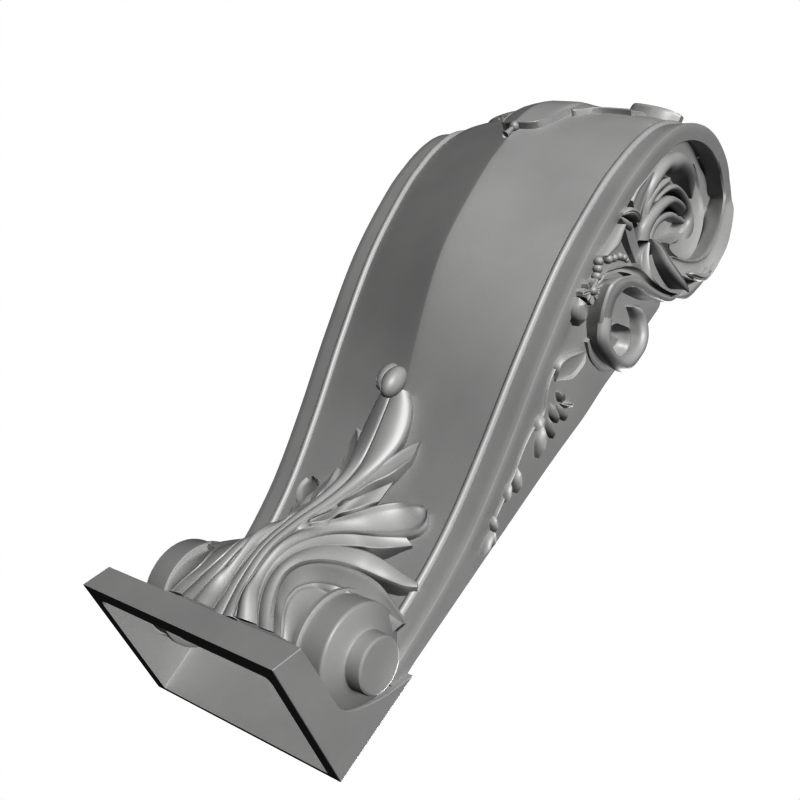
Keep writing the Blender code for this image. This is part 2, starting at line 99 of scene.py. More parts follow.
def ballShape(center, radii, segments, rings):
    bm = bmesh.new()
    bmesh.ops.create_uvsphere(bm, u_segments=segments, v_segments=rings, radius=1.0)
    bmesh.ops.scale(bm, verts=bm.verts, vec=Vector(radii))
    bmesh.ops.translate(bm, verts=bm.verts, vec=Vector(center))
    return bm


def turnedShape(profile, axisY, axisZ, steps=96):  # (along X, radius) turned about a line along X
    bm = bmesh.new()
    verts = [bm.verts.new((x, axisY, axisZ + r)) for x, r in profile]
    edges = [bm.edges.new(pair) for pair in zip(verts, verts[1:])]
    bmesh.ops.spin(bm, geom=verts + edges, cent=(0.0, axisY, axisZ), axis=(1.0, 0.0, 0.0),
                   angle=2 * math.pi, steps=steps, use_merge=True)
    bmesh.ops.remove_doubles(bm, verts=bm.verts, dist=0.002)
    bmesh.ops.recalc_face_normals(bm, faces=bm.faces)
    return bm


def mirrored(bm):
    twin = bm.copy()
    bmesh.ops.scale(twin, verts=twin.verts, vec=Vector((-1.0, 1.0, 1.0)))
    bmesh.ops.reverse_faces(twin, faces=twin.faces)
    return twin


def bothSides(shapes):
    return shapes + [mirrored(bm) for bm in shapes]


def finishPiece(name, shapes, material, sharp):  # joins shapes into one carved piece of the body
    whole = bmesh.new()
    for bm in shapes:
        mesh = bpy.data.meshes.new("part")
        bm.to_mesh(mesh)
        whole.from_mesh(mesh)
        bpy.data.meshes.remove(mesh)
        bm.free()
    bmesh.ops.translate(whole, verts=whole.verts, vec=Vector((0.0, 0.0, -units["mountHeight"])))
    bmesh.ops.scale(whole, verts=whole.verts, vec=Vector([units["millimetre"]] * 3))
    mesh = bpy.data.meshes.new(name)
    whole.to_mesh(mesh)
    whole.free()
    mesh.shade_smooth()
    mesh.set_sharp_from_angle(angle=math.radians(sharp))
    mesh.materials.append(material)
    piece = bpy.data.objects.new(name, mesh)
    scene.collection.objects.link(piece)
    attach(piece, "root")
    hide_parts("bracket_body")
    print("carved", name, len(mesh.polygons), "faces")
    return piece


# finish


class Field:  # a number that varies over the surface, with ordinary arithmetic
    def __init__(self, maker, socket):
        self.maker = maker
        self.socket = socket

    def combine(self, operation, first, second):
        return self.maker.number("ShaderNodeMath", {"operation": operation}, {0: first, 1: second})

    def __add__(self, other):
        return self.combine("ADD", self, other)

    def __mul__(self, other):
        return self.combine("MULTIPLY", self, other)

    def __sub__(self, other):
        return self.combine("SUBTRACT", self, other)

    def __rsub__(self, other):
        return self.combine("SUBTRACT", other, self)

    __radd__ = __add__
    __rmul__ = __mul__


class FinishMaker:
    def __init__(self, name):
        self.material = bpy.data.materials.new(name)
        self.material.use_nodes = True
        self.tree = self.material.node_tree
        self.shader = self.tree.nodes["Principled BSDF"]

    def node(self, kind, settings, sockets):  # settings first, then values or links
        made = self.tree.nodes.new(kind)
        for key, value in settings.items():
            if key == "stops":
                for stop, (place, shade) in zip(made.color_ramp.elements, value):
                    stop.position = place
                    stop.color = (*shade, 1.0)
            else:
                setattr(made, key, value)
        for key, value in sockets.items():
            if isinstance(value, Field):
                self.tree.links.new(value.socket, made.inputs[key])
            elif isinstance(value, bpy.types.NodeSocket):
                self.tree.links.new(value, made.inputs[key])
            else:
                made.inputs[key].default_value = value
        return made

    def number(self, kind, settings, sockets, output=0):
        return Field(self, self.node(kind, settings, sockets).outputs[output])


stoneLook = {
    "dark": (0.352, 0.352, 0.351),
    "light": (0.378, 0.378, 0.376),
    "cloudScale": 14.0,  # soft blotches a few centimetres across
    "grainScale": 900.0,  # the fine sand of the cast surface
    "grainShare": 0.25,
    "roughness": 0.52,
    "roughSpread": 0.06,
    "grainHeight": 0.00006,
    "specular": 0.62,
    "paintedShadeReach": 0.022,  # how far a wall counts as shut in by what faces it, for the painted shade
    # painted shade: the near-black colour mixed into the base colour where the carving is shut in
    "paintedShadeColour": (0.03, 0.03, 0.03),
    "paintedShadeShut": 0.12,  # the openness at which the painted shade in a crevice is darkest, and at which none is painted
    "paintedShadeOpen": 0.42,
}


def makeStone(name, look, paintedShade=False):  # paintedShade: deep gaps in the carving turn dark with painted shade, ambient occlusion darkening the base colour
    maker = FinishMaker(name)
    place = maker.node("ShaderNodeTexCoord", {}, {}).outputs["Object"]
    cloud = maker.number("ShaderNodeTexNoise", {}, {"Vector": place, "Scale": look["cloudScale"],
                                                    "Detail": 4.0})
    grain = maker.number("ShaderNodeTexNoise", {}, {"Vector": place, "Scale": look["grainScale"],
                                                    "Detail": 2.0})
    blend = cloud * (1 - look["grainShare"]) + grain * look["grainShare"]
    ramp = maker.node("ShaderNodeValToRGB",
                      {"stops": [(0.35, look["dark"]), (0.65, look["light"])]}, {"Fac": blend})
    shade = ramp.outputs["Color"]
    # painted shade: the base colour is darkened towards black where the carving is shut in, standing in for
    # the shadow in deep gaps and on the volute's deep wall
    if paintedShade:
        shut = maker.node("ShaderNodeAmbientOcclusion", {"samples": 12, "only_local": True},
                          {"Distance": look["paintedShadeReach"]})
        openness = maker.node("ShaderNodeMapRange", {}, {"Value": shut.outputs["AO"],
                                                         "From Min": look["paintedShadeShut"],
                                                         "From Max": look["paintedShadeOpen"]}).outputs["Result"]
        # sockets 0, 6 and 7 are the factor and the two colours, and output 2 is the mixed colour
        shade = maker.node("ShaderNodeMix", {"data_type": "RGBA"},
                           {0: openness, 6: (*look["paintedShadeColour"], 1.0), 7: shade}).outputs[2]
    maker.tree.links.new(shade, maker.shader.inputs["Base Color"])
    rough = cloud * (2 * look["roughSpread"]) + (look["roughness"] - look["roughSpread"])
    maker.tree.links.new(rough.socket, maker.shader.inputs["Roughness"])
    bump = maker.node("ShaderNodeBump", {}, {"Height": grain, "Distance": look["grainHeight"],
                                             "Strength": 0.5})
    maker.tree.links.new(bump.outputs["Normal"], maker.shader.inputs["Normal"])
    maker.shader.inputs["Specular IOR Level"].default_value = look["specular"]
    return maker.material


stone = makeStone("castStone", stoneLook)
# the carved pieces' stone, with painted shade in its deep gaps
paintedShadeStone = makeStone("paintedShadeStone", stoneLook, paintedShade=True)

# block

block = {
    "halfWidth": 80.5, "flare": 0.0649, "spread": 4.5,
    "border": 15.5, "fillet": 6.0, "filletHeight": 2.7,
    "ridgeRise": 20.5, "ridgeStart": 200.0, "ridgeFull": 350.0,
    "rim": 13.0, "recess": 17.0, "recessStart": 395.0, "recessFull": 440.0,
    "undercut": 7.0,  # how far the volute's rim hangs over its deep wall
    "stations": 170,
    # the S-shaped front line, from behind the roll over the crown to the wall (y, z)
    "front": [(-12.5, 60.0), (-13.0, 72.0), (-14.5, 90.0), (-19.5, 131.0), (-28.5, 169.0), (-46.0, 217.0),
              (-70.5, 276.0), (-94.5, 343.0), (-106.5, 405.0), (-108.5, 440.0), (-107.0, 467.0),
              (-101.5, 492.0), (-90.5, 513.0), (-74.0, 531.0), (-53.0, 543.0), (-27.0, 548.0),
              (0.0, 541.0)],
}

frontLine = smoothLine(block["front"], block["stations"])
frontRun = np.concatenate([[0.0], np.cumsum(np.linalg.norm(np.diff(frontLine, axis=0), axis=1))])


def runAt(height):  # how far up the front line a height is first reached
    rising = int(np.argmax(frontLine[:, 1]))
    return float(np.interp(height, frontLine[:rising, 1], frontRun[:rising]))


def sideX(z, stand=0.0):
    return block["halfWidth"] + block["flare"] * z + stand


def sideSpread(y, z):  # the side widens a little towards the wall below the volute
    return block["spread"] * ease(z, 230.0, 380.0) * ease(y, -70.0, 0.0)


def frontNormal(index):
    a = frontLine[max(index - 1, 0)]
    b = frontLine[min(index + 1, len(frontLine) - 1)]
    along = unit(b - a)
    return np.array([-along[1], along[0]])


def panelRise(share, z):  # a ridge up the panel that swells into a dome at the crown
    rise = block["ridgeRise"] * ease(z, block["ridgeStart"], block["ridgeFull"])
    rise *= (1.0 - 0.45 * ease(z, 450.0, 545.0)) * (1.0 - 0.7 * ease(z, 525.0, 548.0))
    return rise * max(0.0, 1.0 - share) ** (1.0 - 0.55 * ease(z, 475.0, 510.0))


def floorDepth(y, z):
    deep = 0.5 + 2.5 * ease(z, 285.0, 330.0)
    return deep + block["recess"] * ease(z - 0.25 * (y + 40.0), block["recessStart"], block["recessFull"])


def blockRing(index):
    base = frontLine[index]
    normal = frontNormal(index)
    edge = sideX(base[1])
    border, fillet, height = block["border"], block["fillet"], block["filletHeight"]
    inner = edge - border - fillet
    fade = ease(-base[0], 0.0, 12.0)
    columns = [(0.0, panelRise(0.45 / inner, base[1])), (0.6, panelRise(0.7 / inner, base[1]))]
    for k in range(1, 16):
        columns.append((inner * k / 16, panelRise(k / 16, base[1])))
    columns.append((inner - 0.5, panelRise(1 - 0.5 / inner, base[1])))
    bead = [(0.0, 0.0), (0.4, 0.36), (1.1, 0.72), (2.0, 0.94), (2.9, 1.0), (3.8, 0.92), (4.8, 0.66),
            (5.5, 0.3), (5.8, 0.0)]
    columns += [(inner + x, height * h * fade) for x, h in bead]
    columns += [(inner + fillet + 0.4, 0.0), (edge - 6.0, 0.0), (edge - 0.8, 0.0), (edge - 0.25, -0.22)]
    half = []
    for x, lift in columns:
        y, z = base + normal * lift
        half.append((x, min(y, 0.0), z))
    # the rim runs out where the crown meets the wall
    reach = block["rim"] * min(1.0, -base[0] / 6.0 + 0.001)
    under = block["undercut"] / block["rim"] * ease(base[1], 455.0, 500.0)
    for inset, sunk in ((0.8 / block["rim"], 0.0), (0.5, 0.0), (0.95, 0.0), (1.0, 0.05),
                        (1.0 - under / 2, 0.5), (1.0 - under, 0.94), (1.02 - under, 1.0)):
        y, z = base - normal * reach * inset
        y = min(y, 0.0)
        half.append((sideX(z, -floorDepth(y, z) * sunk), y, z))
    start = base - normal * reach * (1.02 - under)
    turn = 470.0
    backZ = base[1]
    turnRun = runAt(turn)
    if frontRun[index] > turnRun:
        backZ = turn + (541.0 - turn) * (frontRun[index] - turnRun) / (frontRun[-1] - turnRun)
    # the foot of the block stops at the collar's back wall
    back = np.array([-9.4 if base[1] < 74.0 else 0.0, backZ])
    for k in range(1, 8):
        y, z = start + (back - start) * k / 7
        half.append((sideX(z, sideSpread(y, z) - floorDepth(y, z)), min(y, 0.0), z))
    half.append((0.0, back[0], back[1]))
    left = [(-x, y, z) for x, y, z in half[1:-1]]
    return half + left[::-1]


rings = [blockRing(i) for i in range(len(frontLine))]
bracketBlock = finishPiece("bracketBlock", [closedShape(rings)], paintedShadeStone, sharp=28.0)

# carved lobes and straps


def carvedLobe(left, right, outward, look, steps=36, across=14, square=False):
    # a blade between two edge lines, with a raised rim, a hollow or crown, and a skirt sunk into what
    # it springs from; square keeps it level with outward, and without it the blade leans as its edge
    # lines do
    a = smoothLine(left, steps)
    b = smoothLine(right, steps)
    mid = (a + b) / 2
    tipCrown = look.get("crown", 0.0)
    rootCrown = look.get("root", tipCrown)
    rings = []
    for i in range(steps + 1):
        span = (b[i] - a[i]) / 2
        along = unit(mid[min(i + 1, steps)] - mid[max(i - 1, 0)])
        out = outward(mid[i])
        if not square:
            up = unit(np.cross(along, span))
            out = up if np.dot(up, out) > 0 else -up
        toRoot = ease(i / steps, 0.3, 0.75)
        width = np.linalg.norm(span)
        scale = min(1.0, width / look.get("full", 4.0))
        ring = []
        for j in range(across + 1):
            t = -math.cos(math.pi * j / across)
            crown = (tipCrown + (rootCrown - tipCrown) * toRoot) * (1 - t * t)
            rim = look.get("rim",
                           0.0) * math.exp(-((abs(t) - 0.82) / 0.12) ** 2) * (1 - toRoot * ("root" in look))
            rim += look.get("lip", 0.0) * math.exp(-((t - 0.88) / 0.08) ** 2)
            vein = look.get("vein", 0.0) * math.exp(-(t / 0.13) ** 2)
            edgeDrop = look.get("edge", 1.2) * max(0.0, (abs(t) - 0.86) / 0.14) ** 2
            tilt = look.get("tilt", 0.0) * t
            ring.append(mid[i] + span * t + out * scale * (crown + rim - vein - edgeDrop + tilt))
        sink = look.get("sink", 5.0)
        under = look.get("under", 0.0)  # leans the skirt in under the first edge
        for t in (0.97, 0.5, -0.5, -0.97):
            ring.append(mid[i] + span * (t + under * (1 - t) * 0.75) - out * sink)
        rings.append(ring)
    return closedShape(rings)


def outFromSide(p):
    return np.array([1.0, 0.0, 0.0])


def onSide(points):  # (y, z, stand off the side) to a place
    return [(sideX(z, stand), y, z) for y, z, stand in points]


conch = {
    # the strap that leaves the crown, flares off the side down the wall and sweeps in under the pods;
    # each row is the inner lip and the outer lip (y, z, stand off the side), then how far the undercut
    # foot lies from the lip
    "rows": [
        ((-42.0, 534.5, -0.6), (-40.0, 546.0, -1.0), (0.0, 7.0)),
        ((-30.0, 534.5, -0.3), (-27.0, 547.3, -0.8), (1.0, 9.0)),
        ((-19.4, 532.8, 0.3), (-13.0, 545.6, 0.0), (4.0, 9.0)),
        ((-12.0, 528.0, 2.4), (-0.6, 540.5, 1.4), (8.0, 16.0)),
        ((-9.0, 517.0, 5.5), (-0.6, 527.0, 9.2), (8.0, 22.0)),
        ((-8.0, 502.0, 10.0), (-0.6, 502.0, 17.8), (8.0, 24.0)),
        ((-8.5, 486.9, 13.5), (-0.6, 480.0, 23.6), (8.0, 18.0)),
        ((-9.5, 472.4, 16.0), (-0.6, 463.0, 25.4), (8.0, 8.0)),
        ((-10.8, 460.0, 17.2), (-0.6, 449.0, 26.2), (6.0, 1.0)),
        ((-15.4, 448.4, 17.4), (-3.0, 438.0, 26.0), (4.0, -3.0)),
        ((-21.0, 440.0, 17.2), (-11.0, 428.0, 25.0), (3.0, -4.0)),
        ((-27.5, 432.0, 16.8), (-20.0, 420.0, 22.0), (2.0, -4.0)),
        ((-38.0, 423.0, 14.0), (-33.0, 414.0, 16.0), (0.0, 0.0))],
    "hollow": 2.0, "bead": 1.1, "sink": 24.0,
}

sweep = {
    # the lower band from under the strap through the S to the small scroll: outer edge, inner edge
    "outer": [(-3.0, 448.0, 25.0), (-2.0, 432.0, 22.5), (-4.5, 416.0, 21.6), (-10.3, 407.8, 21.0),
              (-29.1, 391.4, 19.4), (-45.8, 381.6, 17.6), (-60.0, 374.4, 16.0), (-69.2, 363.2, 15.0),
              (-73.0, 355.5, 14.0), (-73.7, 346.3, 13.0), (-64.4, 333.2, 11.6), (-52.2, 325.4, 10.4),
              (-42.0, 321.5, 10.0)],
    "inner": [(-7.0, 448.0, 24.0), (-8.0, 434.0, 21.5), (-12.5, 417.0, 20.6), (-18.0, 395.9, 20.0),
              (-33.5, 381.8, 18.0), (-49.2, 372.0, 15.8), (-55.9, 367.3, 14.6), (-60.4, 360.0, 14.0),
              (-60.8, 354.0, 13.0), (-59.8, 349.5, 12.0), (-54.0, 342.5, 11.0), (-45.9, 337.4, 10.0),
              (-38.0, 333.0, 9.0)],
    "look": {"crown": 1.6, "rim": 0.5, "sink": 22.0, "full": 4.0, "edge": 1.0, "under": 0.7},
}

ridge = {
    # the rounded roll that carries the band on round the bowl and ends in a small hook
    "outer": [(-60.0, 331.0, 10.0), (-50.3, 321.5, 11.0), (-40.5, 319.5, 11.5), (-27.0, 321.5, 12.0),
              (-13.0, 327.0, 12.0), (-3.0, 337.0, 12.0), (-0.8, 352.0, 11.5), (-1.4, 364.0, 10.5),
              (-7.0, 374.5, 8.5), (-16.0, 380.5, 6.5), (-25.0, 380.5, 5.0), (-31.4, 376.0, 4.0)],
    "inner": [(-50.0, 340.0, 10.0), (-44.5, 332.5, 11.0), (-37.5, 329.5, 11.5), (-28.5, 330.0, 12.0),
              (-19.0, 335.0, 12.0), (-12.0, 345.0, 12.0), (-10.0, 355.0, 11.5), (-11.5, 363.5, 10.5),
              (-15.5, 368.5, 8.5), (-20.5, 372.0, 6.5), (-26.0, 373.0, 5.0), (-30.8, 373.4, 4.0)],
    "look": {"crown": 4.6, "sink": 18.0, "full": 4.0, "edge": 1.4, "under": 1.0},
}

backPlate = {  # the thin plate that shows behind the scroll
    "outer": [(-44.4, 321.0, 1.0), (-29.3, 319.0, 1.0), (-12.1, 325.0, 1.0), (-2.0, 336.0, 1.0),
              (-0.8, 352.0, 1.0), (-0.8, 372.0, 1.0)],
    "inner": [(-44.4, 340.0, 1.0), (-35.0, 345.0, 1.0), (-25.0, 350.0, 1.0), (-20.0, 355.0, 1.0),
              (-18.0, 362.0, 1.0), (-15.0, 372.0, 1.0)],
    "look": {"crown": 0.0, "rim": 0.6, "sink": 4.0, "full": 4.0, "edge": 0.4},
}

well = {  # the raised floor round the conch, with the bead that runs along the foot of the deep wall
    "outer": [(-46.0, 526.0, -16.5), (-38.0, 528.0, -16.5), (-20.0, 527.0, -16.0), (-7.0, 519.0, -12.5),
              (-4.0, 499.0, -5.2), (-4.0, 477.0, 0.5), (-6.0, 460.0, 4.5), (-14.0, 446.0, 7.0),
              (-24.0, 436.0, 8.0)],
    "inner": [(-48.0, 516.0, -17.0), (-40.0, 512.0, -17.0), (-30.0, 508.0, -16.5), (-22.0, 500.0, -14.0),
              (-20.0, 486.0, -9.5), (-22.0, 470.0, -6.0), (-26.0, 458.0, -4.0), (-32.0, 448.0, -2.0),
              (-36.0, 440.0, 0.0)],
    "look": {"crown": -0.4, "rim": 2.2, "sink": 12.0, "full": 4.0, "edge": 1.6},
}


def strapShape():
    rows = [sum((list(part) for part in row), []) for row in conch["rows"]]
    line = smoothLine(rows, 130)
    rings = []
    for y0, z0, s0, y1, z1, s1, dy, dz in line:
        ring = []
        for t in (0.0, 0.05, 0.1, 0.16, 0.22, 0.35, 0.5, 0.65, 0.8, 0.9, 0.96, 1.0):
            y, z = y0 + (y1 - y0) * t, z0 + (z1 - z0) * t
            bead = conch["bead"] * math.exp(-((t - 0.08) / 0.07) ** 2)
            drop = 1.2 if t in (0.0, 1.0) else 0.0
            lift = s0 + (s1 - s0) * t - 4 * conch["hollow"] * t * (1 - t) * ease(s1, 0.0, 8.0) + bead - drop
            ring.append((sideX(z, lift), min(y, -0.4), z))
        for t, down in ((1.0, 0.5), (1.0, 1.0), (0.4, 1.0)):
            y, z = y0 + (y1 - y0) * t, z0 + (z1 - z0) * t
            ring.append((sideX(z, s0 - conch["sink"] * down), min(y, -0.4), z))
        for down in (1.0, 0.75, 0.45, 0.2, 0.06):
            y, z = y0 + dy * down, z0 + dz * down
            ring.append((sideX(z, s0 - 1.2 - (conch["sink"] - 1.2) * down), min(y, -0.4), z))
        rings.append(ring)
    return closedShape(rings)


def troughShape():  # the hollow ledge over the S, which faces down and stays dark
    upper = onSide([(-72.1, 365.1, 4.0), (-67.2, 373.8, 5.0), (-61.8, 382.1, 7.0), (-50.9, 391.0, 9.0),
                    (-36.2, 395.6, 13.0), (-20.5, 403.4, 17.0), (-9.5, 413.7, 21.0)])
    lower = onSide([(-74.0, 356.0, 4.0), (-66.5, 369.5, 5.0), (-57.0, 379.5, 6.0), (-45.0, 386.5, 8.0),
                    (-31.0, 394.0, 10.0), (-18.0, 402.0, 14.0), (-9.0, 411.0, 18.0)])
    return carvedLobe(upper, lower, outFromSide, {"crown": -2.5, "sink": 10.0, "full": 3.0, "edge": 0.4},
                      square=True)


bandShapes = [strapShape(), troughShape()]
for band in (sweep, ridge, backPlate, well):
    bandShapes.append(carvedLobe(onSide(band["outer"]), onSide(band["inner"]),
                                 outFromSide, band["look"], steps=90,
                                 across=18, square=True))
scrolls = finishPiece("voluteBands", bothSides(bandShapes), paintedShadeStone, sharp=38.0)

voluteLeaves = {
    "topLobe": {
        "outer": [(-71.5, 424.0, -3.0), (-79.1, 431.8, -3.0), (-87.2, 441.8, -3.0), (-90.8, 452.1, -3.2),
                  (-91.0, 467.3, -3.6), (-86.2, 480.5, -4.0), (-79.1, 493.9, -4.8), (-67.8, 503.6, -5.6),
                  (-56.1, 507.2, -6.6), (-44.5, 506.9, -7.8), (-30.1, 501.9, -9.0)],
        "inner": [(-69.0, 425.8, -3.0), (-74.7, 434.6, -3.0), (-78.5, 444.6, -3.0), (-79.3, 455.7, -3.2),
                  (-78.6, 467.6, -3.6), (-72.3, 474.0, -4.0), (-66.9, 483.9, -4.8), (-60.5, 490.3, -5.6),
                  (-52.7, 495.6, -6.6), (-42.0, 498.9, -7.8), (-30.7, 501.0, -9.0)],
        "look": {"crown": 5.0, "sink": 14.0, "full": 6.0, "edge": 2.0}},
    "finger": {
        "outer": [(-69.0, 422.8, -3.0), (-77.5, 431.0, -2.0), (-82.1, 441.3, -1.0), (-80.9, 455.0, -1.0),
                  (-76.7, 465.5, -1.0)],
        "inner": [(-68.1, 428.4, -3.0), (-73.6, 439.2, -2.0), (-75.4, 450.3, -1.0), (-72.8, 461.5, -1.0),
                  (-74.1, 465.9, -1.0)],
        "look": {"crown": 3.0, "sink": 16.0, "full": 3.0, "edge": 1.5}},
    "middleCurl": {
        "outer": [(-70.8, 439.8, -5.0), (-70.6, 455.4, -4.6), (-67.7, 467.8, -4.1), (-61.9, 477.3, -4.3),
                  (-50.9, 485.2, -4.8), (-37.6, 490.2, -5.2), (-24.8, 491.0, -5.7), (-13.2, 490.0, -6.0),
                  (-8.7, 484.5, -6.0), (-9.7, 478.1, -6.0)],
        "inner": [(-67.4, 444.3, -5.0), (-66.1, 455.3, -4.6), (-63.0, 465.6, -4.1), (-56.9, 473.9, -4.3),
                  (-47.4, 480.3, -4.8), (-35.7, 484.8, -5.2), (-26.9, 485.1, -5.7), (-22.9, 480.7, -6.0),
                  (-22.9, 472.8, -6.0), (-21.3, 463.1, -6.0)],
        "look": {"crown": 3.2, "sink": 13.0, "full": 3.5, "edge": 1.5}},
    "hookLeaf": {
        "outer": [(-63.0, 408.7, 0.0), (-70.0, 417.2, 0.0), (-71.5, 430.0, 0.0), (-69.6, 445.9, -0.3),
                  (-63.3, 461.3, -1.0), (-52.0, 472.6, -1.8), (-41.5, 478.7, -2.8), (-36.3, 477.6, -3.9),
                  (-35.1, 472.9, -5.0)],
        "inner": [(-54.3, 419.5, 0.0), (-58.5, 424.6, 0.0), (-60.5, 433.8, 0.0), (-60.0, 446.5, -0.3),
                  (-55.3, 459.6, -1.0), (-48.1, 467.6, -1.8), (-41.2, 472.0, -2.8), (-37.0, 473.5, -3.9),
                  (-35.1, 472.9, -5.0)],
        "look": {"crown": 3.6, "sink": 18.0, "full": 4.0, "edge": 1.8}},
    "tongue": {
        "outer": [(-48.9, 429.1, -6.0), (-53.4, 438.3, -6.4), (-51.5, 453.0, -6.8), (-45.2, 465.8, -7.2),
                  (-35.5, 475.3, -7.6), (-25.7, 481.8, -8.0)],
        "inner": [(-45.3, 433.6, -6.0), (-46.9, 443.6, -6.4), (-44.8, 454.0, -6.8), (-38.7, 465.0, -7.2),
                  (-30.2, 472.8, -7.6), (-21.4, 480.9, -8.0)],
        "look": {"crown": 1.6, "sink": 12.0, "full": 3.0, "edge": 1.0}},
    "strip": {
        "outer": [(-94.7, 413.9, 0.0), (-97.3, 423.6, -0.3), (-96.2, 435.5, -0.7), (-94.3, 447.2, -1.0)],
        "inner": [(-72.8, 410.7, 0.0), (-80.2, 422.9, -0.3), (-86.0, 434.5, -0.7), (-91.3, 449.8, -1.0)],
        "look": {"crown": 1.0, "rim": 0.8, "sink": 16.0, "full": 4.0, "edge": 1.0}},
    "flatBar": {
        "outer": [(-88.3, 397.5, 1.0), (-69.1, 396.3, 1.0), (-47.4, 397.8, 1.0)],
        "inner": [(-81.1, 406.8, 1.0), (-60.2, 406.0, 1.0), (-40.7, 407.2, 1.0)],
        "look": {"crown": 0.0, "sink": 10.0, "edge": 0.4}},
    "longPod": {
        "outer": [(-56.5, 418.9, 4.0), (-51.4, 421.8, 7.0), (-39.6, 420.7, 12.0), (-27.5, 419.6, 17.0),
                  (-15.2, 418.7, 21.0), (-10.0, 417.0, 23.0)],
        "inner": [(-56.5, 418.5, 4.0), (-49.7, 416.5, 7.0), (-39.4, 413.2, 12.0), (-28.0, 412.6, 17.0),
                  (-16.8, 413.8, 21.0), (-9.3, 416.6, 23.0)],
        "look": {"crown": 3.0, "vein": 1.6, "sink": 12.0, "full": 3.0, "edge": 1.4}},
    "smallPod": {
        "outer": [(-21.4, 424.0, 21.6), (-20.1, 427.9, 23.2), (-10.4, 436.3, 24.0), (-4.4, 446.4, 23.4),
                  (-3.0, 457.8, 22.4)],
        "inner": [(-19.4, 423.0, 21.6), (-13.8, 425.1, 23.2), (-5.0, 433.9, 24.0), (-0.8, 444.6, 23.4),
                  (-0.8, 457.2, 22.4)],
        "look": {"crown": 2.6, "vein": 1.4, "sink": 8.0, "full": 2.5, "edge": 1.4}},
    "hidden": {  # closes the deep gap under the pods
        "outer": [(-48.0, 408.0, 3.0), (-30.0, 404.0, 6.0), (-14.0, 407.0, 9.0), (-3.0, 414.0, 10.0)],
        "inner": [(-44.0, 420.0, 3.0), (-28.0, 420.0, 6.0), (-12.0, 424.0, 9.0), (-2.0, 432.0, 10.0)],
        "look": {"crown": 0.0, "sink": 16.0, "full": 3.0, "edge": 0.4}},
    "calyx": {
        "outer": [(-96.1, 397.6, 2.0), (-94.7, 405.8, 3.2), (-87.6, 412.6, 3.2), (-79.1, 415.9, 2.0)],
        "inner": [(-94.5, 395.9, 2.0), (-90.2, 401.5, 3.2), (-84.3, 407.2, 3.2), (-76.5, 411.8, 2.0)],
        "look": {"crown": 1.8, "vein": 0.8, "sink": 8.0, "full": 3.0, "edge": 1.4}},
    "calyxLower": {
        "outer": [(-94.0, 396.5, 1.0), (-88.0, 400.5, 2.2), (-82.5, 403.0, 2.2), (-78.0, 403.0, 1.0)],
        "inner": [(-93.0, 395.0, 1.0), (-87.5, 396.0, 2.2), (-82.5, 397.5, 2.2), (-77.5, 400.5, 1.0)],
        "look": {"crown": 2.0, "sink": 6.0, "full": 3.0, "edge": 1.4}},
    "lowWing": {
        "outer": [(-54.0, 419.0, 2.0), (-47.0, 408.0, 5.0), (-38.0, 401.0, 9.0), (-26.0, 401.5, 13.0),
                  (-15.0, 407.5, 17.0), (-9.0, 413.5, 20.0)],
        "inner": [(-56.0, 416.0, 2.0), (-55.0, 402.0, 4.0), (-46.0, 394.0, 7.0), (-34.0, 396.0, 11.0),
                  (-20.0, 403.5, 15.0), (-9.5, 412.5, 20.0)],
        "look": {"crown": -1.5, "rim": 0.8, "sink": 8.0, "full": 3.0, "edge": 0.8}},
}

leafShapes = []
for name, piece in voluteLeaves.items():
    leafShapes.append(carvedLobe(onSide(piece["outer"]), onSide(piece["inner"]),
                                 outFromSide, piece["look"], square=True))

eye = {
    "rim": [(-43.4, 339.9), (-40.5, 346.0), (-35.3, 350.5), (-23.5, 358.7), (-17.2, 357.1), (-12.1, 350.8),
            (-13.0, 343.5), (-16.5, 337.8), (-26.1, 330.8), (-34.6, 330.9), (-40.5, 334.0)],
    # share of the rim's reach, stand off the side
    "profile": [(1.12, -6.0), (1.12, 6.0), (1.06, 8.2), (0.99, 8.6), (0.92, 7.8), (0.86, 5.5),
                (0.7, 1.6), (0.5, -0.4), (0.25, -1.4), (0.03, -1.6)],
}


def eyeShape():  # the spoon-shaped hollow inside the small lower scroll
    rim = smoothLine(eye["rim"] + eye["rim"][:2], 66)[:-6]
    middle = np.mean(np.array(eye["rim"]), axis=0)
    rings = []
    for share, stand in eye["profile"]:
        ring = []
        for place in rim:
            y, z = middle + (place - middle) * share
            ring.append((sideX(z, stand), y, z))
        rings.append(ring)
    return closedShape(rings)


leafShapes.append(eyeShape())
scrollLeaves = finishPiece("voluteLeaves", bothSides(leafShapes), paintedShadeStone, sharp=40.0)

# hanging garland

